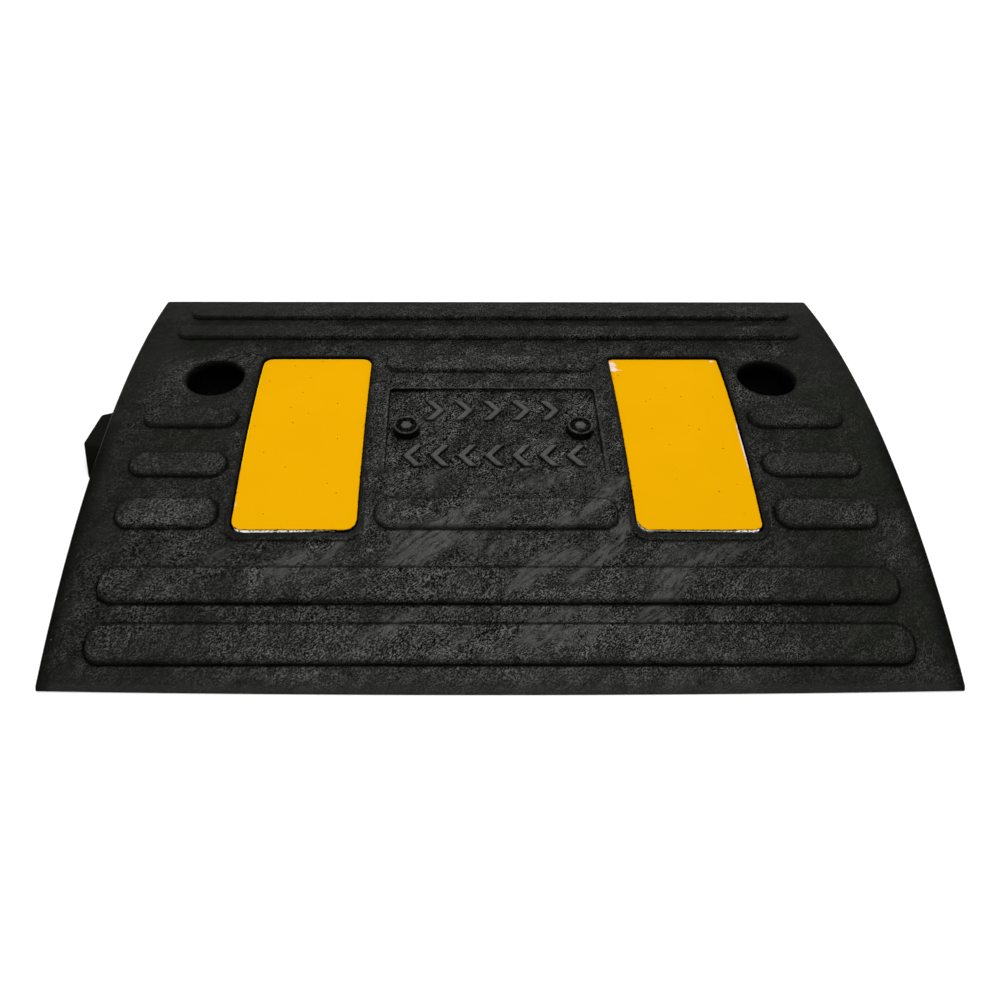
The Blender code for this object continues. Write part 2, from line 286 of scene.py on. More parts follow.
def make_outlines():
    ribs = [Rounded(((low + high) / 2, y), ((high - low) / 2, width / 2), RIB_END_RADIUS)
            for low, high, y, width in LONG_RIBS]
    middle, half = sum(SIDE_ROW) / 2, (SIDE_ROW[1] - SIDE_ROW[0]) / 2
    for sign in SIDES.values():
        ribs += [Rounded((sign * middle, y), (half, width / 2), RIB_END_RADIUS) for y, width in SIDE_RIBS]
    panels, recesses = zip(*(panel_outline(side) for side in SIDES))
    frame_half = (FRAME_SIZE[0] / 2, FRAME_SIZE[1] / 2)
    frames = [Rounded((panel.centre[0], FRAME_Y), frame_half, FRAME_RADIUS, panel.flare) for panel in panels]
    seats = [sum(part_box("bolt_seat_washer_" + side), Vector()) / 2 for side in SIDES]
    plate = Rounded((0.0, PLATE_Y), (PLATE_SIZE[0] / 2, PLATE_SIZE[1] / 2), PLATE_RADIUS)
    arrows = [arrow((number - (count - 1) / 2) * pitch, y, pointing)
              for count, pitch, y, pointing in ARROW_ROWS for number in range(count)]
    boss_centres = [(sign * BOSS_X, BOSS_Y) for sign in SIDES.values()]
    turns = np.radians(60 * np.arange(6))
    hexagon = NUB_RADIUS * np.stack([np.cos(turns), np.sin(turns)], 1)
    return {
        "ribs": ribs, "frames": frames, "recesses": recesses, "plate": [plate], "arrows": arrows,
        "holes": [circle(seat[:2], COUNTERBORE_RADIUS) for seat in seats],
        "bolts": [circle(seat[:2], BOLT_RADIUS) for seat in seats],
        "bosses": [circle(centre, BOSS_RADIUS) for centre in boss_centres],
        "cups": [circle(centre, CUP_RADIUS) for centre in boss_centres],
        "nubs": [Polygon(hexagon + centre) for centre in boss_centres],
    }


OUTLINES = make_outlines()
EDGES = {
    "ribs": RIB_EDGE, "frames": FRAME_EDGE, "recesses": PANEL_EDGE, "holes": HOLE_EDGE,
    "plate": PLATE_EDGE, "arrows": ARROW_EDGE, "bosses": BOSS_EDGE, "cups": BOSS_EDGE, "nubs": NUB_EDGE,
}


def nearest(name, x, y):
    """How far outside the nearest outline of that name each point is."""
    return np.minimum.reduce([outline.distance(x, y) for outline in OUTLINES[name]])


def share(name, x, y):
    """How far up its edge each point is, 0 outside and 1 well inside any outline of that name."""
    inward, level = zip(*EDGES[name])
    result = np.zeros(np.shape(x))
    for outline in OUTLINES[name]:
        result = np.maximum(result, np.interp(-outline.distance(x, y), inward, level))
    return result


# --- Heights ---


def front_y(x):
    """Where the front edge, which bulges a little, is at x."""
    bow_radius = (HALF_X**2 + FRONT_BOW**2) / (2 * FRONT_BOW)
    return -HALF_Y - FRONT_BOW + bow_radius - np.sqrt(bow_radius**2 - np.asarray(x) ** 2)


def node_level(name, highest):
    """The height of a node's upper or lower face as a function of y."""
    rows = {}
    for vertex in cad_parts[name].data.vertices:
        _, y, z = vertex.co
        rows.setdefault(round(y * MILLI * 2), []).append((z, y))
    pick = max if highest else min
    line = sorted((pick(row)[1], pick(row)[0]) for row in rows.values())
    curve = np.polyfit(*np.array(line).T, 4)
    return lambda y: np.polyval(curve, y)


panel_bottom = node_level("reflector_backing_left", False)
cad_film_top = node_level("reflector_film_left", True)


def film_top(y):
    return cad_film_top(y) + PANEL_LIFT * ramp(np.asarray(y), PANEL_BACK_Y, -PANEL_BACK_Y)


def plate_floor(y):
    front, back = PLATE_Y - PLATE_SIZE[1] / 2, PLATE_Y + PLATE_SIZE[1] / 2
    front_z, back_z = dome(front) - PLATE_DEPTH_FRONT, dome(back) - PLATE_DEPTH_BACK
    return front_z + (back_z - front_z) * (y - front) / (back - front)


def mix(a, b, factor):
    return a + (b - a) * factor


def top_height(x, y):
    z = dome(y)
    end = np.interp(HALF_X - np.abs(x), *zip(*END_DROP))
    z = z - end * np.minimum(END_DROP_HEIGHT, 0.45 * dome(y))
    to_lip = np.minimum(y - front_y(x), HALF_Y - y)
    z = z - LIP_DROP_HEIGHT * np.interp(to_lip, *zip(*LIP_DROP))
    z = z + FRAME_HEIGHT * share("frames", x, y) + RIB_HEIGHT * share("ribs", x, y)
    z = mix(z, panel_bottom(y) - PANEL_GAP, share("recesses", x, y))
    floor = plate_floor(y) + ARROW_HEIGHT * share("arrows", x, y)
    z = mix(z, floor, share("plate", x, y))
    z = mix(z, BOSS_TOP, share("bosses", x, y))
    z = mix(z, BOSS_TOP - CUP_DEPTH, share("cups", x, y))
    z = mix(z, BOSS_TOP + NUB_RISE, share("nubs", x, y))
    return mix(z, COUNTERBORE_FLOOR, share("holes", x, y))


# --- Surface irregularity ---


def noise_at(points, size, seed, octaves=1):
    """Smooth noise of about -1 to 1 at each point, for features of that size."""
    shift = Vector((seed * 7.31, seed * 3.17, seed * 1.93))
    if octaves == 1:
        return np.array([noise.noise(Vector(p) / size + shift) for p in points])
    return np.array([noise.fractal(Vector(p) / size + shift, 0.8, 2.1, octaves) for p in points])


def inward_of_edges(x, y):
    """How far inside the nearer end, the front edge and the nearest of all edges each point is."""
    from_end = HALF_X - np.abs(x)
    from_front = y - front_y(np.clip(x, -HALF_X, HALF_X))
    return from_end, from_front, np.minimum.reduce([from_end, from_front, HALF_Y - y])


def calm(x, y):
    """1 on open rubber and 0 where the relief is crisp: panels, frames, holes and the outer rim."""
    near = np.minimum(nearest("recesses", x, y), nearest("holes", x, y))
    return ramp(near, 0.005, 0.001) * ramp(inward_of_edges(x, y)[2], 0.004, 0.0)


def roughen(points):
    """Moves the upper surface's points: edges wander a little, and open rubber is wrinkled."""
    x, y = points[:, 0], points[:, 1]
    loose = calm(x, y)
    for axis, (depth, size) in enumerate(WANDER):
        points[:, axis] += depth * loose * noise_at(points, size, axis + 1)
    drift = [noise_at(points, SWIRL_SIZE, 3), noise_at(points, SWIRL_SIZE, 4), 0 * x]
    swirl = noise_at(points + SWIRL_REACH * np.stack(drift, 1), WRINKLE[1], 5, 3)
    waves = noise_at(points, WAVE[1], 6)
    patch = np.clip(0.5 + 1.6 * noise_at(points, PATCH_SIZE, 7), 0.15, 1.0)
    pits = np.clip(noise_at(points, PIT[1], 8) - 0.42, 0, 1)
    rise = WRINKLE[0] * patch * swirl + WAVE[0] * waves - PIT[0] * pits * patch
    points[:, 2] += rise * np.clip(0.25 + loose, 0, 1) * (1 - share("holes", x, y))
    return points


# --- The moulding's mesh ---


def rim_loop():
    """The moulding's outline seen from above, anticlockwise from its back right corner."""
    across, along = round(2 * HALF_Y / LOOP_STEP), round(2 * HALF_X / LOOP_STEP)
    xs = HALF_X - 2 * HALF_X * np.arange(along) / along
    back = np.stack([xs, np.full(along, HALF_Y)], 1)
    left = np.stack([np.full(across, -HALF_X), HALF_Y - 2 * HALF_Y * np.arange(across) / across], 1)
    front = np.stack([-xs, front_y(-xs)], 1)
    right = -left
    return np.concatenate([back, left, front, right])


def rim_rows():
    """Loose points along the outline's rounded upper edges."""
    rows = []
    inset = END_DROP[-1][0]
    for distance, _ in END_DROP[1:]:
        ys = np.arange(-HALF_Y + LOOP_STEP, HALF_Y - LOOP_STEP / 2, LOOP_STEP)
        for sign in SIDES.values():
            rows.append(np.stack([np.full(len(ys), sign * (HALF_X - distance)), ys], 1))
    for distance, _ in LIP_DROP[1:]:
        xs = np.arange(-HALF_X + inset + LOOP_STEP, HALF_X - inset, LOOP_STEP)
        rows.append(np.stack([xs, np.full(len(xs), HALF_Y - distance)], 1))
        rows.append(np.stack([xs, front_y(xs) + distance], 1))
    return np.concatenate(rows)


def field_points(step):
    """A jittered triangular grid over the whole plan, clear of every edge line."""
    generator = np.random.default_rng(7)
    xs = np.arange(-HALF_X, HALF_X, step)
    ys = np.arange(-HALF_Y - FRONT_BOW, HALF_Y, step * math.sqrt(3) / 2)
    x, y = np.meshgrid(xs, ys)
    x = x + (np.arange(len(ys)) % 2)[:, None] * step / 2
    x, y = (
        part.ravel() + generator.uniform(-FIELD_JITTER, FIELD_JITTER, part.size) * step for part in (x, y)
    )
    from_end, from_front, _ = inward_of_edges(x, y)
    keep = (from_end > END_DROP[-2][0]) & (np.minimum(from_front, HALF_Y - y) > LIP_DROP[-1][0])
    for name, edge in EDGES.items():
        for outline in OUTLINES[name]:
            distance = outline.distance(x, y)
            for inward, _ in edge:
                keep &= np.abs(distance + inward) > EDGE_ROOM * step
            if name in ("recesses", "holes"):
                keep &= distance > 0
    return np.stack([x[keep], y[keep]], 1)


def floor_points(outline, depth, step):
    """A coarse grid inside an outline, for a floor that is hidden or plain."""
    reach_x, reach_y = outline.half
    xs = np.arange(outline.centre[0] - reach_x, outline.centre[0] + reach_x, step)
    ys = np.arange(outline.centre[1] - reach_y, outline.centre[1] + reach_y, step)
    x, y = (part.ravel() for part in np.meshgrid(xs, ys))
    keep = outline.distance(x, y) < -depth
    return np.stack([x[keep], y[keep]], 1)


def edge_loops():
    return [outline.loop(-inward) for name, edge in EDGES.items()
            for outline in OUTLINES[name] for inward, _ in edge]


def triangulate(loops, points, holes):
    """Joins loops and loose points into a flat mesh whose edges follow the loops.

    Returns its points, its triangles and, for each loop, where its points ended up.
    """
    coords, edges, starts = [], [], []
    for loop in loops:
        starts.append(len(coords))
        count = len(loop)
        edges += [(len(coords) + k, len(coords) + (k + 1) % count) for k in range(count)]
        coords += [Vector(p) for p in loop * MILLI]
    coords += [Vector(p) for p in points * MILLI]
    flat, _, triangles, origin, _, _ = delaunay_2d_cdt(coords, edges, [], 0, 1e-6)
    flat = np.array([list(p) for p in flat]) / MILLI
    triangles = np.array(triangles)
    place = {old: new for new, olds in enumerate(origin) for old in olds}
    ids = [[place[start + k] for k in range(len(loop))] for start, loop in zip(starts, loops)]
    middle = flat[triangles].mean(1)
    inside_hole = np.zeros(len(triangles), bool)
    for hole in holes:
        inside_hole |= hole.distance(middle[:, 0], middle[:, 1]) < -1e-6
    return flat, triangles[~inside_hole], ids


def lift(plan, z):
    """Points of the plan at a height, or each at its own."""
    return np.column_stack([plan, np.broadcast_to(z, len(plan))])


def add_to_scene(name, data):
    made = bpy.data.objects.new(name, data)
    bpy.context.scene.collection.objects.link(made)
    return made


def add_mesh(name, bm):
    mesh = bpy.data.meshes.new(name)
    bm.to_mesh(mesh)
    bm.free()
    return add_to_scene(name, mesh)


class Builder:
    """Collects points and faces for one mesh."""

    def __init__(self):
        self.points, self.faces, self.count = [], [], 0

    def add(self, points):
        numbers = np.arange(self.count, self.count + len(points))
        self.points.append(np.asarray(points, float))
        self.count += len(points)
        return numbers

    def cover(self, points, triangles):
        """Adds a surface and returns its points' numbers."""
        numbers = self.add(points)
        self.faces += numbers[triangles].tolist()
        return numbers

    def wall(self, upper, rows, lower):
        """Joins two loops through rows of points, the upper one anticlockwise seen from outside."""
        for row in [*(self.add(points) for points in rows), lower]:
            following = np.roll(upper, -1), np.roll(row, -1)
            self.faces += np.stack([upper, row, following[1], following[0]], 1).tolist()
            upper = row

    def object(self, name):
        mesh = bpy.data.meshes.new(name)
        mesh.from_pydata(np.concatenate(self.points).tolist(), [], self.faces)
        mesh.validate()
        bm = bmesh.new()
        bm.from_mesh(mesh)
        bpy.data.meshes.remove(mesh)
        loose = [v for v in bm.verts if not v.link_faces]
        bmesh.ops.delete(bm, geom=loose, context="VERTS")
        return add_mesh(name, bm)


def bore_rows(bolt):
    """A bolt hole's wall from the road upward, with the groove that holds its washer."""
    low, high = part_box("bolt_seat_washer_left")
    groove = (high.x - low.x) / 2 + PANEL_GAP
    roof, floor = high.z + PANEL_GAP, low.z - PANEL_GAP
    angles = np.arange(len(bolt.loop())) * 2 * math.pi / len(bolt.loop())
    ring = np.stack([np.cos(angles), np.sin(angles)], 1)
    return [lift(np.array(bolt.centre) + radius * ring, z)
            for radius, z in ((BOLT_RADIUS, floor), (groove, floor), (groove, roof), (BOLT_RADIUS, roof))]


def build_moulding():
    rim = rim_loop()
    bolts = OUTLINES["bolts"]
    bolt_loops = [bolt.loop() for bolt in bolts]
    loose = [rim_rows(), field_points(FIELD_STEP)]
    loose += [floor_points(recess, depth=0.004, step=0.008) for recess in OUTLINES["recesses"]]
    loose += [floor_points(hole, depth=0.002, step=0.002) for hole in OUTLINES["holes"]]
    loose = np.concatenate(loose)
    clear = np.all([bolt.distance(*loose.T) > FIELD_STEP / 2 for bolt in bolts], axis=0)
    flat, triangles, ids = triangulate([rim, *bolt_loops, *edge_loops()], loose[clear], bolts)
    builder = Builder()
    top = roughen(lift(flat, top_height(*flat.T)))
    upper = builder.cover(top, triangles)
    underside = floor_points(Rounded((0, 0), (HALF_X, HALF_Y), 0.001), depth=0.004, step=0.007)
    flat, triangles, low_ids = triangulate([rim, *bolt_loops], underside, bolts)
    lower = builder.cover(lift(flat, 0.0), triangles[:, ::-1])
    rows = [lift(rim, top[ids[0], 2] * (1 - row / WALL_ROWS)) for row in range(1, WALL_ROWS)]
    builder.wall(upper[ids[0]], rows, lower[low_ids[0]])
    for number, bolt in enumerate(bolts, start=1):
        builder.wall(lower[low_ids[number]], bore_rows(bolt), upper[ids[number]])
    return builder.object("rubber_moulding")


def tongue_block(name, clearance, shift_x):
    """The tapered tongue. With a clearance it is the shape that its socket is cut with."""
    root_x = -HALF_X + OVERLAP
    tip_front = TONGUE_TIP_X - clearance
    low_z, high_z = -OVERLAP if clearance else 0.0, TONGUE_TOP + clearance
    depth = (high_z - low_z) / TONGUE_TOP
    bm = bmesh.new()
    bmesh.ops.create_cube(bm, size=2.0)
    for vertex in bm.verts:
        at_tip, at_back, on_top = vertex.co.x < 0, vertex.co.y > 0, vertex.co.z > 0
        side = 1 if at_back else -1
        x = (tip_front + TONGUE_SLANT if at_back else tip_front) if at_tip else root_x
        y = (TONGUE_TIP_Y if at_tip else TONGUE_ROOT_Y)[at_back] + side * clearance
        if not on_top:
            draft_x, draft_y = TONGUE_FRONT_DRAFT if at_tip and not at_back else TONGUE_DRAFT
            x -= depth * draft_x if at_tip else 0.0
            y += side * depth * draft_y
        vertex.co = (x + shift_x, y, high_z if on_top else low_z)
    bmesh.ops.recalc_face_normals(bm, faces=bm.faces)
    worn_edges = [edge for edge in bm.edges if max(v.co.z for v in edge.verts) > low_z]
    bmesh.ops.bevel(bm, geom=worn_edges, offset=TONGUE_RADIUS, segments=5, profile=0.5, affect="EDGES")
    bmesh.ops.triangulate(bm, faces=bm.faces)
    return add_mesh(name, bm)


def join_tongue_and_socket(moulding):
    tools = {
        "UNION": tongue_block("tongue", 0.0, 0.0),
        "DIFFERENCE": tongue_block("socket", SOCKET_CLEARANCE, 2 * HALF_X),
    }
    for operation, tool in tools.items():
        modifier = moulding.modifiers.new(tool.name, "BOOLEAN")
        modifier.operation, modifier.solver, modifier.object = operation, "MANIFOLD", tool
    bpy.context.view_layer.update()
    joined = moulding.evaluated_get(bpy.context.evaluated_depsgraph_get())
    mesh = bpy.data.meshes.new_from_object(joined)
    moulding.modifiers.clear()
    moulding.data = mesh
    for tool in tools.values():
        bpy.data.objects.remove(tool)


# --- Surface data for the materials ---


def store(obj, name, values):
    attribute = obj.data.attributes.new(name, "FLOAT", "POINT")
    attribute.data.foreach_set("value", np.asarray(values, np.float32))


def slope_to_back(outline, x, y, step=0.0002):
    """How far the nearest edge faces the back: 1 straight back, -1 straight to the front."""
    return (outline.distance(x, y + step) - outline.distance(x, y - step)) / (2 * step)


def along_line(distance, centre, full, none):
    """A line along an outline: 1 within full of its centre, falling to 0 at none."""
    return ramp(np.abs(distance - centre), full, none)


def relief_lines(x, y):
    """Painted shade along the relief's feet and on its front faces, and painted highlights on thin rims."""
    foot, face, glint = np.zeros((3, len(x)))
    for name in ("ribs", "arrows", "bosses", "frames", "plate"):
        for outline in OUTLINES[name]:
            distance = outline.distance(x, y)
            near = np.abs(distance) < 0.004
            facing = np.zeros(len(x))
            facing[near] = slope_to_back(outline, x[near], y[near])
            # Painted shade: thin dark lines along the feet of the relief, wider on some sides of the ribs and
            # frames
            line = along_line(distance, 0.0002, 0.00018, 0.00048)
            wide_line = along_line(distance, 0.0004, 0.00065, 0.00115)
            if name == "ribs":
                crest = along_line(distance, -0.0008, 0.00072, 0.00132)
                line = np.maximum(line, crest * np.clip(1.6 * facing, 0, 0.9))
                line = np.maximum(line, wide_line * np.clip(3 * facing + 1, 0, 1))
                # Painted shade on the ribs' sloping faces that face the front and the sides
                slope = ramp(distance, 0.0004, -0.0020) * (near & (distance < 0.0006))
                face = np.maximum(face, slope * np.interp(facing, (-1, 0, 1), (1.0, 0.9, 0.0)))
            elif name == "frames":
                line = wide_line * np.clip(-1.5 * facing, 0, 1)
            elif name == "plate":
                line *= np.interp(facing, (-1, -0.5, 0), (0.25, 0.6, 1.0))
                # A painted highlight just outside the plate's rim, except along its front
                rim_light = along_line(distance, 0.0013, 0.0003, 0.0008)
                glint = np.maximum(glint, 0.45 * rim_light * np.interp(facing, (-0.9, 0), (0, 1)))
            elif name == "bosses":
                # A painted highlight on the bosses' ring rims
                ring = along_line(distance, -0.0004, 0.00012, 0.00042)
                glint = np.maximum(glint, ring * (distance < 0))
            foot = np.maximum(foot, line)
    strength = np.interp(y, (-0.130, -0.080, 0.0, 0.060), (1.0, 0.72, 0.62, 0.55))
    return foot * np.where(share("plate", x, y) > 0, 1.0, strength), face * strength, glint


def rib_tops(x, y):
    """How much brighter each rib's top is than the rubber beside it."""
    raised = np.zeros(len(x))
    for outline in OUTLINES["ribs"]:
        if outline.half[0] < SHORT_RIB_HALF:
            level = 0.35 if outline.centre[1] > 0 else 1.0
        else:
            level = 0.35 if outline.centre[1] > 0.1 else 0.15
        raised = np.maximum(raised, level * ramp(outline.distance(x, y), -0.002, 0.0))
    return raised


def mark_moulding(obj):
    """Stores where the rubber is smooth, and where painted black shade, painted shade, painted dark lines and
    painted highlights go on it.
    """
    points = np.empty(len(obj.data.vertices) * 3)
    obj.data.vertices.foreach_get("co", points)
    x, y, z = points.reshape(-1, 3).T
    from_end, from_front, from_edge = inward_of_edges(x, y)
    around, at_hole = nearest("recesses", x, y), nearest("holes", x, y)
    on_tongue = ramp(x, -HALF_X - 0.0005, -HALF_X)
    under_dome = ramp(dome(np.clip(y, -HALF_Y, HALF_Y)) - z, 0.006, 0.002) * (from_edge < 0.0001)

    # Smooth bands round the panels and holes, along the rim and on the tongue
    band = np.interp(y, (-0.070, -0.055), (0.0032, 0.0014))
    store(obj, "smooth", np.maximum.reduce([
        ramp(around, band, band + 0.0012), ramp(at_hole, 0.0006, 0.0018),
        0.30 * ramp(from_edge, 0.0022, 0.0062), 0.45 * on_tongue,
    ]))

    # Painted black shade inside the holes and recesses, on the tongue's sides and on the outer walls
    store(obj, "painted_black_shade", np.maximum.reduce([
        ramp(at_hole, -0.0002, 0.0002), ramp(around, 0.0001, 0.0005),
        on_tongue * ramp(z, TONGUE_TOP - 0.0016, TONGUE_TOP - 0.0006), 0.45 * under_dome,
    ]))

    # Painted shade at the relief's feet and on the ribs' front faces, and painted highlights on thin rims
    foot, face, glint = relief_lines(x, y)
    # A painted highlight along the left end beside the tongue
    by_tongue = ramp(np.abs(y - TONGUE_MIDDLE_Y), 0.022, 0.044) * (x < 0) * (under_dome <= 0)
    glint = np.maximum(glint, 0.6 * by_tongue * along_line(x, -HALF_X, 0.0003, 0.0009))
    # Painted shade in the bosses' cups
    cup = share("cups", x, y) * (1 - share("nubs", x, y))
    store(obj, "glint", glint * (1 - cup))
    store(obj, "foot", np.maximum(foot, 0.85 * cup))
    store(obj, "face", face)
    # Painted light on the tops of the arrows and the bosses' nubs
    store(obj, "painted_top_light", np.maximum(share("arrows", x, y), share("nubs", x, y)))
    store(obj, "plate", share("plate", x, y))
    store(obj, "raised", rib_tops(x, y))
    # Painted shade over the rounded ends' front half
    store(obj, "end", ramp(from_end, 0.0, 0.010) * ramp(y, -0.02, 0.02) * (1 - on_tongue))
    store(obj, "margin", ramp(np.minimum(from_front, from_end), 0.0048, 0.0208))
    # Painted light along the rounded front edge, away from the ends
    store(obj, "painted_lip_light", ramp(from_front, 0.0015, 0.0045) * ramp(from_end, 0.010, 0.0))


def smooth(obj, degrees):
    obj.data.shade_smooth()
    obj.data.set_sharp_from_angle(angle=math.radians(degrees))


# --- Materials ---


class Shade:
    """Builds one material's nodes. An input given as a socket is linked, and anything else is its value."""

    def __init__(self, name, **inputs):
        self.material = bpy.data.materials.new(name)
        self.material.use_nodes = True
        self.tree = self.material.node_tree
        self.shader = self.tree.nodes["Principled BSDF"]
        self.fill(self.shader, {key.replace("_", " "): value for key, value in inputs.items()})

    def fill(self, node, inputs):
        for key, value in inputs.items():
            if isinstance(value, bpy.types.NodeSocket):
                self.tree.links.new(value, node.inputs[key])
            else:
                node.inputs[key].default_value = value

    def add(self, kind, output, inputs, **settings):
        node = self.tree.nodes.new("ShaderNode" + kind)
        for key, value in settings.items():
            setattr(node, key, value)
        self.fill(node, inputs)
        return node.outputs[output]

    def math(self, operation, *values):
        return self.add("Math", 0, dict(enumerate(values)), operation=operation)

    def product(self, *values):
        result = values[0]
        for value in values[1:]:
            result = self.math("MULTIPLY", result, value)
        return result

    def gain(self, value, amount):
        """A factor of 1 where the value is 0 and of 1 plus the amount where it is 1."""
        return self.math("MULTIPLY_ADD", value, amount, 1.0)

    def mix(self, factor, first, second):
        return self.add("Mix", 2, {0: factor, 6: first, 7: second}, data_type="RGBA")

    def layers(self, color, *layers):
        """Lays colours over each other, each with its mask and strength."""
        for mask, strength, shade in layers:
            factor = self.math("MULTIPLY", mask, strength) if strength < 1 else mask
            color = self.mix(factor, color, shade)
        return color

    def span(self, value, low, high, to_low=0.0, to_high=1.0):
        inputs = {"Value": value, "From Min": low, "From Max": high, "To Min": to_low, "To Max": to_high}
        return self.add("MapRange", 0, inputs, interpolation_type="SMOOTHSTEP")

    def noise(self, where, scale, detail=2.0, roughness=0.55, output=0):
        inputs = {"Vector": where, "Scale": scale, "Detail": detail, "Roughness": roughness}
        return self.add("TexNoise", output, inputs)

    def cells(self, where, scale, output="Distance"):
        return self.add("TexVoronoi", output, {"Vector": where, "Scale": scale})

    def stretch(self, where, degrees, ratio):
        """Coordinates in which a pattern runs along a direction in the plan, longer by a ratio."""
        inputs = {"Vector": where, "Rotation": (0, 0, math.radians(degrees)), "Scale": (ratio, 1, 1)}
        return self.add("Mapping", 0, inputs, vector_type="TEXTURE")

    def object_space(self):
        return self.add("TexCoord", "Object", {})

    def warp(self, where, scale, amount):
        """Coordinates that swirl by up to the amount."""
        drift = self.noise(where, scale, 1.0, output=1)
        drift = self.add("VectorMath", 0, {0: drift, 1: (0.5, 0.5, 0.5)}, operation="SUBTRACT")
        spread = {0: drift, 1: (amount, amount, amount), 2: where}
        return self.add("VectorMath", 0, spread, operation="MULTIPLY_ADD")

    def attribute(self, name):
        return self.add("Attribute", "Fac", {}, attribute_name=name)

    def bump(self, height, distance, strength=1.0):
        normal = self.add("Bump", 0, {"Height": height, "Distance": distance, "Strength": strength})
        self.tree.links.new(normal, self.shader.inputs["Normal"])

    def finish(self, color, roughness):
        self.fill(self.shader, {"Base Color": color, "Roughness": roughness})
        return self.material


def smears(s, where, swirled, from_middle):
    """Masks of the dusty smears, mostly in front of the middle, and of the polished patches."""
    favour = s.span(from_middle, 0.0, 1.5, 0.105, -0.08)
    smear = s.noise(s.stretch(swirled, 40, 2.6), 44.0, 5.0, 0.62)
    scraped = s.noise(s.stretch(swirled, 42, 5.0), 420.0, 3.0, 0.6)
    polish = s.noise(s.stretch(where, 20, 1.8), 55.0, 3.0, 0.6)
    smear = s.product(s.span(s.math("ADD", smear, favour), 0.55, 0.66), s.span(scraped, 0.30, 0.52))
    return smear, s.span(polish, 0.56, 0.68)


def crumb_colour(s, x, y, swirled, from_middle, relief, crease):
    """High crumb is paler, with more contrast towards the back and in the plate. Painted reflection and shade
    make it paler round the front middle and darker towards the back.
    """
    rough_patch = s.span(s.noise(s.stretch(swirled, 42, 2.2), 60.0, 4.0, 0.65), 0.38, 0.60, 0.55, 1.0)
    blotch = s.span(s.noise(s.stretch(swirled, 42, 2.0), 110.0, 4.0, 0.7), 0.36, 0.66, 0.64, 1.30)
    plate = s.attribute("plate")
    contrast = s.product(
        rough_patch, s.span(y, -0.10, 0.10, 1.0, 1.6),
        s.gain(s.attribute("margin"), -0.60), s.gain(plate, 0.6),
    )
    tone = s.math("POWER", s.span(relief, 0.41, 0.70), 2.0)
    tone = s.math("MULTIPLY_ADD", s.math("SUBTRACT", tone, 0.26), contrast, 0.26)
    # Painted reflection and shade: the crumb is paler round the front middle and darker towards the back. It
    # is also darker near the left end and paler along the front strip.
    tone = s.product(
        tone, blotch, s.gain(s.attribute("raised"), 1.1), s.gain(plate, -0.24),
        s.span(from_middle, 0.0, 2.2, 0.78, 0.58), s.span(y, 0.065, 0.115, 1.0, 0.42),
        s.span(x, -0.235, -0.200, 0.72, 1.0), s.span(y, -0.165, -0.145, 1.25, 1.0),
        s.span(y, -0.130, -0.110, 1.0, 0.92), s.gain(crease, -0.55),
    )
    return s.mix(tone, (0.0006, 0.0006, 0.0005, 1), (0.242, 0.242, 0.231, 1))


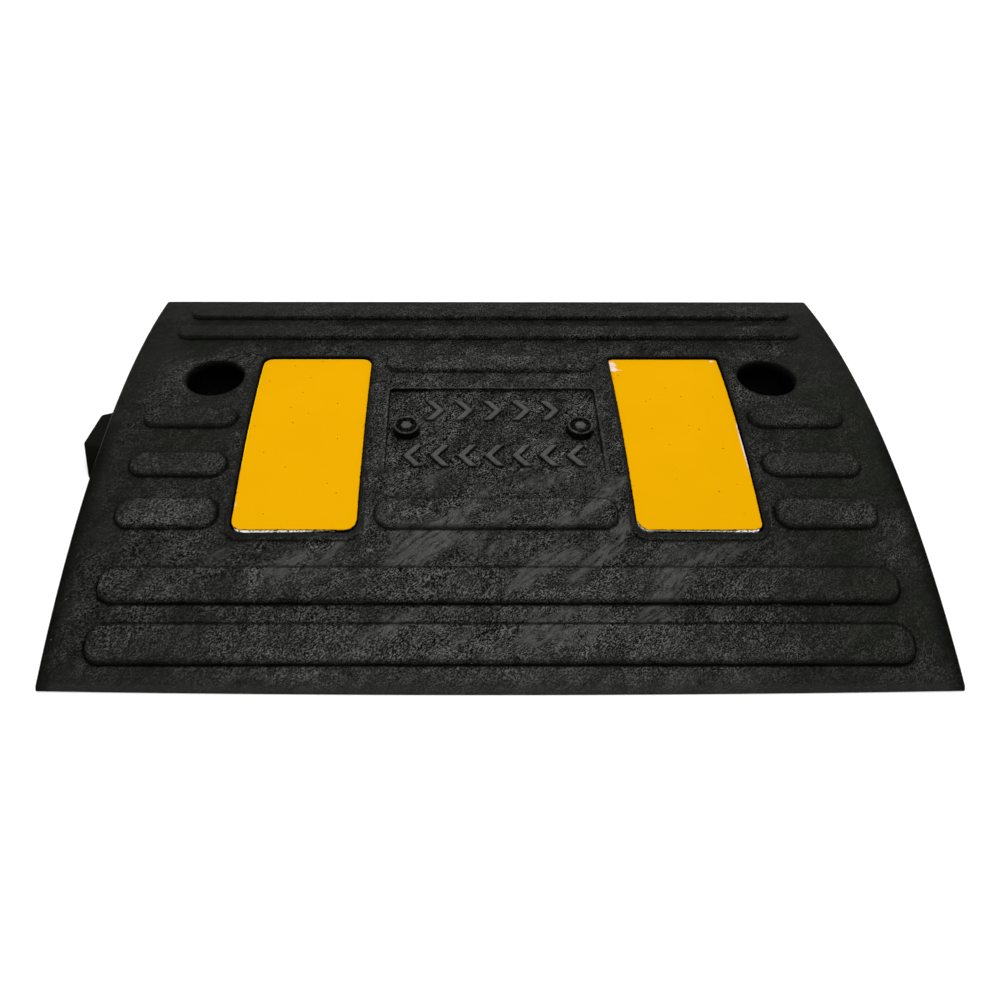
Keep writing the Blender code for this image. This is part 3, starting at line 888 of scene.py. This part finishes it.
def rubber_material():
    """Pressed recycled rubber: wrinkled crumb, dusty smears and polished patches, with painted shade, painted
    highlights and a painted reflection laid over them.
    """
    s = Shade("recycled_rubber_detailed", Specular_IOR_Level=0.012)
    where = s.object_space()
    place = s.add("SeparateXYZ", 0, {"Vector": where}).node
    x, y = place.outputs["X"], place.outputs["Y"]
    swirled = s.warp(where, 22.0, 0.010)
    smooth_area, painted_black_shade = s.attribute("smooth"), s.attribute("painted_black_shade")
    face, lit_tops = s.attribute("face"), s.attribute("painted_top_light")

    from_middle = s.math(
        "ADD", s.product(s.math("ABSOLUTE", s.math("SUBTRACT", x, 0.015)), 4.8),
        s.product(s.math("ABSOLUTE", s.math("ADD", y, 0.100)), 8.0),
    )
    smear, polish = smears(s, where, swirled, from_middle)
    quiet = s.math("MAXIMUM", s.math("MAXIMUM", smear, s.product(polish, 0.6)), smooth_area)
    quiet = s.math("MAXIMUM", quiet, s.product(s.math("MAXIMUM", face, lit_tops), 0.8))
    lively = s.gain(quiet, -0.75)

    # The wrinkled crumb's height
    stroked = s.stretch(swirled, 42, 1.9)
    wrinkle = s.noise(stroked, 1500.0, 1.0, 0.5)
    clump = s.noise(stroked, 420.0, 5.0, 0.75)
    off_line = s.math("SUBTRACT", s.noise(stroked, 640.0, 2.0, 0.6), 0.5)
    crease = s.span(s.math("ABSOLUTE", off_line), 0.0, 0.040, 1.0, 0.0)
    relief = s.math("ADD", s.product(wrinkle, 0.86), s.product(clump, 0.30))
    relief = s.math("MULTIPLY_ADD", crease, -0.17, relief)
    grain = s.noise(where, 2600.0, 2.0)
    s.bump(s.math("MULTIPLY_ADD", relief, lively, s.product(grain, 0.08)), 0.0058)

    # Its colours
    dust = s.mix(s.noise(where, 900.0, 3.0, 0.7), (0.040, 0.040, 0.038, 1), (0.112, 0.112, 0.107, 1))
    side = s.span(s.math("ABSOLUTE", x), 0.08, 0.21)
    mossy = s.product(
        s.span(s.noise(where, 14.0, 3.0, 0.6), 0.34, 0.58), s.math("MULTIPLY_ADD", side, 0.65, 0.10),
    )
    rust = s.span(s.noise(s.stretch(where, 0, 5.0), 160.0, 3.0), 0.50, 0.66)
    color = s.layers(
        crumb_colour(s, x, y, swirled, from_middle, relief, s.product(crease, lively)),
        (polish, 0.50, (0.016, 0.016, 0.015, 1)),
        (smear, 0.85, dust),
        (mossy, 1.00, (0.0190, 0.0216, 0.0158, 1)),
        (s.product(s.span(y, 0.135, 0.165), rust), 0.70, (0.026, 0.018, 0.014, 1)),
        (smooth_area, 0.82, (0.0080, 0.0082, 0.0072, 1)),
        # Painted light on the tops of the arrows and nubs
        (lit_tops, 0.82, (0.100, 0.100, 0.096, 1)),
        # Painted light along the front edge
        (s.attribute("painted_lip_light"), 0.65, (0.040, 0.040, 0.037, 1)),
        # Painted shade on the ribs' front faces
        (face, 0.90, (0.0020, 0.0021, 0.0019, 1)),
        # Painted shade at the relief's feet and in the bosses' cups
        (s.attribute("foot"), 0.92, (0.0008, 0.0008, 0.0008, 1)),
        # Painted shade over the rounded ends
        (s.attribute("end"), 0.90, (0.0030, 0.0036, 0.0026, 1)),
        # Painted highlights on thin rims
        (s.attribute("glint"), 0.75, (0.130, 0.130, 0.124, 1)),
        (specks(s, where, 320.0, 0.080, 0.985), 1.00, (0.50, 0.49, 0.45, 1)),
        # Painted black shade in the holes and recesses, on the tongue's sides and on the outer walls
        (painted_black_shade, 1.00, (0.0008, 0.0008, 0.0008, 1)),
    )
    rough = s.span(s.math("ADD", wrinkle, s.product(smear, 0.25)), 0.30, 0.85, 0.42, 0.68)
    # Less rough under the painted black shade
    return s.finish(color, s.math("MULTIPLY_ADD", painted_black_shade, -0.22, rough))


def specks(s, where, scale, size, rarity):
    """A mask of small round specks, in only a few of the cells that could hold one."""
    spot = s.span(s.cells(where, scale), size, size * 0.6)
    chance = s.add("SeparateColor", 0, {"Color": s.cells(where, scale, "Color")})
    return s.product(spot, s.math("GREATER_THAN", chance, rarity))


def film_material():
    """Yellow reflective sheeting: a fine bead grain, faint streaks, small dark specks and an uneven dark rim
    along its edges.
    """
    s = Shade("reflective_film_detailed", Specular_IOR_Level=0.005)
    where = s.object_space()
    cloud = s.span(s.noise(where, 22.0, 2.0), 0.3, 0.7)
    streaks = s.noise(s.stretch(where, 80, 6.0), 120.0, 3.0, 0.6)
    scratches = s.noise(s.stretch(where, -18, 7.0), 700.0, 3.0, 0.6)
    worn = s.math("MULTIPLY_ADD", scratches, 1.6, s.attribute("worn"))
    # Darker in uneven patches along the film's edges
    darkening = s.math("MULTIPLY_ADD", s.noise(where, 520.0, 4.0, 0.7), 0.8, s.attribute("edge"))
    color = s.layers(
        s.mix(cloud, (0.612, 0.301, 0.0, 1), (0.602, 0.292, 0.0, 1)),
        (s.span(streaks, 0.62, 0.80), 0.25, (0.555, 0.264, 0.0, 1)),
        (s.span(worn, 1.42, 1.90), 1.00, (0.62, 0.53, 0.50, 1)),
        (s.span(darkening, 1.20, 1.27), 1.00, (0.014, 0.009, 0.002, 1)),
        (specks(s, where, 330.0, 0.19, 0.94), 1.00, (0.12, 0.06, 0.006, 1)),
        (s.attribute("lit"), 0.90, (0.92, 0.66, 0.0, 1)),
    )
    scuffs = s.noise(s.stretch(where, 25, 9.0), 500.0, 2.0)
    s.bump(s.math("MULTIPLY_ADD", scuffs, 0.5, s.cells(where, 3600.0)), 0.00005, 0.5)
    return s.finish(color, s.span(scuffs, 0.35, 0.65, 0.55, 0.70))


def backing_material():
    """White adhesive backing, dirty where it shows at squeezed and torn spots, and painted black shade
    everywhere else.
    """
    s = Shade("backing_detailed", Specular_IOR_Level=0.3)
    where = s.object_space()
    dirt = s.noise(where, 800.0, 4.0, 0.7)
    color = s.mix(s.span(dirt, 0.47, 0.60), (0.80, 0.79, 0.76, 1), (0.060, 0.054, 0.046, 1))
    # Painted black shade wherever the backing is not squeezed out or torn
    color = s.mix(s.attribute("darkening"), color, (0.004, 0.004, 0.004, 1))
    s.bump(s.noise(where, 1500.0, 3.0, 0.6), 0.00012)
    return s.finish(color, s.span(dirt, 0.3, 0.7, 0.55, 0.80))


def steel_material():
    """Zinc-plated steel under the black skin that moulding leaves on it, with a few spots where the zinc
    shows.
    """
    s = Shade("washer_steel_detailed", Specular_IOR_Level=0.02)
    where = s.object_space()
    skin = s.span(s.noise(where, 300.0, 4.0, 0.7), 0.70, 0.80)
    spangle = s.add("SeparateColor", 0, {"Color": s.cells(where, 420.0, "Color")})
    zinc = s.mix(spangle, (0.30, 0.30, 0.29, 1), (0.42, 0.42, 0.40, 1))
    color = s.mix(skin, (0.0006, 0.0006, 0.0006, 1), zinc)
    s.fill(s.shader, {"Metallic": skin})
    s.bump(s.noise(s.stretch(where, 0, 8.0), 1800.0, 2.0), 0.00005)
    return s.finish(color, s.math("MULTIPLY_ADD", skin, -0.15, 0.55))


def floor_material():
    """A pale floor with a barely visible mottling."""
    s = Shade("pale_floor", Specular_IOR_Level=0.2)
    where = s.object_space()
    color = s.mix(s.noise(where, 3.0, 2.0), (0.91, 0.91, 0.91, 1), (0.93, 0.93, 0.93, 1))
    return s.finish(color, s.span(s.noise(where, 40.0, 2.0), 0.0, 1.0, 0.80, 0.85))


# --- The reflective films and their backings ---

FILM_THICKNESS = 0.0007
SHEET_STEP = 0.0010
SHEET_EDGE = 0.0002  # the radius of a sheet's upper edge
SHEET_MARGINS = (0.0007, 0.0013, 0.0034)  # two rows of points inside the edge, then the open grid
FILM_BORDER = 0.00035
BACKING_BORDER = 0.0005
SHEET_CLEARANCE = 0.00004
SHEET_WAVE = (0.00005, 0.012)  # depth and size

# Where a film's edge is torn back, and where its backing is squeezed out to the front:
# x and y from the panel's centre, half lengths, depth
TEARS = {
    "left": [
        (-0.0375, -0.0600, 0.0015, 0.0050, 0.0007), (0.0375, -0.0560, 0.0012, 0.0035, 0.0011),
        (0.0375, -0.0400, 0.0012, 0.0025, 0.0010), (0.0375, -0.0480, 0.0012, 0.0018, 0.0008),
        (0.0375, 0.0050, 0.0012, 0.0020, 0.0006), (0.0230, -0.0780, 0.0015, 0.0015, 0.0010),
    ],
    "right": [
        (-0.0375, 0.0640, 0.0015, 0.0120, 0.0008), (-0.0300, 0.0780, 0.0080, 0.0012, 0.0007),
        (0.0365, 0.0770, 0.0030, 0.0025, 0.0016), (0.0290, -0.0775, 0.0090, 0.0012, 0.0006),
        (0.0375, -0.0020, 0.0012, 0.0130, 0.0008), (0.0375, -0.0600, 0.0012, 0.0050, 0.0007),
        (-0.0350, -0.0750, 0.0040, 0.0035, 0.0010),
    ],
}
SQUEEZED = {
    "left": [(-0.0100, -0.0780, 0.0260, 0.0030, 0.0012), (-0.0290, -0.0780, 0.0070, 0.0030, 0.0009)],
    "right": [(0.0270, -0.0780, 0.0090, 0.0030, 0.0011), (-0.0300, -0.0780, 0.0050, 0.0030, 0.0006)],
}
# The same where a film is scuffed white, with a strength last
SCUFFS = {
    "left": [(-0.0368, -0.0600, 0.0012, 0.0040, 0.9)],
    "right": [
        (-0.0350, 0.0700, 0.0035, 0.0085, 1.0), (-0.0285, 0.0650, 0.0095, 0.0012, 0.8),
        (0.0355, 0.0755, 0.0020, 0.0022, 1.0), (0.0381, -0.0160, 0.0013, 0.0300, 1.4),
    ],
}


def spots(places, centre, x, y):
    """The sum of some soft oval spots at each point."""
    result = np.zeros(np.shape(x))
    for spot_x, spot_y, half_x, half_y, strength in places:
        far = ((x - centre[0] - spot_x) / half_x) ** 2 + ((y - centre[1] - spot_y) / half_y) ** 2
        result += strength * np.clip(1.25 - far, 0, 1)
    return result


def sheet_rim(outline):
    """Points round a sheet's plain outline, and the way inward at each."""
    outer = outline.loop(0.0, SHEET_STEP / 2)
    return outer, (outline.loop(-SHEET_STEP, SHEET_STEP / 2) - outer) / SHEET_STEP


def ragged_loop(outline, inset, cuts):
    """A sheet's outline, cut a little unevenly and moved inward by the cuts."""
    outer, inward = sheet_rim(outline)
    x, y = outer.T
    level = lift(outer, 0.0)
    moved = inset * (1 + 0.45 * noise_at(level, 0.0030, 21, 3))
    moved = moved + spots(cuts, outline.centre, x, y) * (0.7 + 1.1 * noise_at(level, 0.0014, 22, 2))
    return outer + inward * moved[:, None]


def sheet(name, outline, loop, top, bottom):
    """A closed thin sheet whose upper edge is rounded over, and its points."""
    _, inward = sheet_rim(outline)
    inner = loop + inward * SHEET_EDGE
    *margins, open_from = SHEET_MARGINS
    grid = floor_points(outline, depth=open_from, step=1.3 * SHEET_STEP)
    flat, triangles, ids = triangulate([inner, *(loop + inward * margin for margin in margins)], grid, [])
    builder = Builder()
    waviness = SHEET_WAVE[0] * noise_at(lift(flat, 0.0), SHEET_WAVE[1], 23, 2)
    upper = builder.cover(lift(flat, top(flat[:, 1]) + waviness), triangles)[ids[0]]
    shoulder = loop * 0.65 + inner * 0.35
    rows = [lift(shoulder, top(shoulder[:, 1]) - 0.25 * SHEET_EDGE), lift(loop, top(loop[:, 1]) - SHEET_EDGE)]
    flat, triangles, ids = triangulate([loop], floor_points(outline, depth=open_from, step=0.006), [])
    lower = builder.cover(lift(flat, bottom(flat[:, 1])), triangles[:, ::-1])[ids[0]]
    builder.wall(upper, rows, lower)
    made = builder.object(name)
    smooth(made, 40)
    return made, np.array([v.co for v in made.data.vertices])


def film_underside(y):
    return film_top(y) - FILM_THICKNESS


def build_film(side, outline):
    loop = ragged_loop(outline, FILM_BORDER, TEARS[side])
    film, points = sheet("film_sheet_" + side, outline, loop, film_top, film_underside)
    x, y, _ = points.T
    away = outline.distance(x, y)
    store(film, "worn", spots(SCUFFS[side], outline.centre, x, y))
    store(film, "edge", ramp(away, 0.0, -0.0022))
    # The back and outer edges of the left film catch the light
    outer_edge = (x < outline.centre[0] - 0.9 * outline.half[0]) * (y > -0.03)
    lit = np.maximum(slope_to_back(outline, x, y).clip(0, 1), outer_edge) * (side == "left")
    store(film, "lit", lit * ramp(away, -0.00036, -0.00106))
    return film


def build_backing(side, outline):
    squeezed = [(*spot[:4], -spot[4]) for spot in SQUEEZED[side]]
    loop = ragged_loop(outline, BACKING_BORDER, squeezed)
    backing, points = sheet(
        "backing_sheet_" + side, outline, loop, lambda y: film_underside(y) - SHEET_CLEARANCE, panel_bottom,
    )
    x, y, _ = points.T
    # Painted black shade on the backing, except where it is squeezed out or torn
    seen = spots(SQUEEZED[side] + TEARS[side], outline.centre, x, y)
    store(backing, "darkening", ramp(seen, 0.0, 0.001))
    return backing


def build_panel(side, film_look, backing_look):
    outline, _ = panel_outline(side)
    for piece, look, node, slot in (
        (build_film(side, outline), film_look, "reflector_film_", "reflective_film"),
        (build_backing(side, outline), backing_look, "reflector_backing_", "backing"),
    ):
        piece.data.materials.append(look)
        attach(piece, "root")
        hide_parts(node + side)


# --- Floor, light and camera ---

FLOOR_HALF = 6.0
WORLD_STRENGTHS = (0.80, 0.75)
# Place, size and watts
LIGHTS = {"key": ((-0.12, 0.25, 1.35), 1.1, 12.5), "fill": ((0.5, -0.3, 1.6), 1.4, 4.6)}
CAMERA_PLACE = (-0.02494, -0.43774, 0.46515)
CAMERA_PITCH, CAMERA_YAW, CAMERA_ROLL = (math.radians(a) for a in (44.889, -0.296, 0.242))
CAMERA_LENS = 34.625
CAMERA_SHIFT = (0.0417, -0.0700)


def add_floor():
    bm = bmesh.new()
    bmesh.ops.create_grid(bm, x_segments=8, y_segments=8, size=FLOOR_HALF)
    floor = add_mesh("floor", bm)
    floor.location.z = -0.0001
    floor.data.materials.append(floor_material())


def add_area_light(name, place, size, watts):
    """A soft round light that faces the origin."""
    light = bpy.data.lights.new(name, "AREA")
    light.shape = "DISK"
    light.size, light.energy = size, watts
    lamp = add_to_scene(name, light)
    lamp.location = place
    lamp.rotation_euler = (-Vector(place)).to_track_quat("-Z", "Y").to_euler()


def add_world(horizon, zenith):
    """A plain white surround, a little dimmer overhead than at the horizon."""
    world = bpy.data.worlds.new("studio")
    world.use_nodes = True
    tree = world.node_tree
    direction = tree.nodes.new("ShaderNodeTexCoord").outputs["Generated"]
    parts = tree.nodes.new("ShaderNodeSeparateXYZ")
    tree.links.new(direction, parts.inputs[0])
    climb = tree.nodes.new("ShaderNodeMapRange")
    for name, value in (("From Max", 0.8), ("To Min", horizon), ("To Max", zenith)):
        climb.inputs[name].default_value = value
    tree.links.new(parts.outputs["Z"], climb.inputs["Value"])
    tree.links.new(climb.outputs[0], tree.nodes["Background"].inputs["Strength"])
    tree.nodes["Background"].inputs["Color"].default_value = (1, 1, 1, 1)
    bpy.context.scene.world = world


def add_camera():
    data = bpy.data.cameras.new("camera")
    data.lens = CAMERA_LENS
    data.shift_x, data.shift_y = CAMERA_SHIFT
    data.clip_start = 0.01
    camera = add_to_scene("camera", data)
    turn = Matrix.Rotation(CAMERA_YAW, 4, "Z") @ Matrix.Rotation(math.pi / 2 - CAMERA_PITCH, 4, "X")
    camera.matrix_world = Matrix.Translation(CAMERA_PLACE) @ turn @ Matrix.Rotation(CAMERA_ROLL, 4, "Z")
    bpy.context.scene.camera = camera


moulding = build_moulding()
join_tongue_and_socket(moulding)
smooth(moulding, 38)
mark_moulding(moulding)
moulding.data.materials.clear()
moulding.data.materials.append(rubber_material())
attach(moulding, "root")
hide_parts("rubber_body")

film_look, backing_look, steel_look = film_material(), backing_material(), steel_material()
for side in SIDES:
    build_panel(side, film_look, backing_look)
    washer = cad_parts["bolt_seat_washer_" + side]
    washer.data.materials.clear()
    washer.data.materials.append(steel_look)

add_floor()
add_world(*WORLD_STRENGTHS)
for name, light in LIGHTS.items():
    add_area_light(name, *light)
add_camera()
bpy.context.scene.view_settings.view_transform = "Standard"
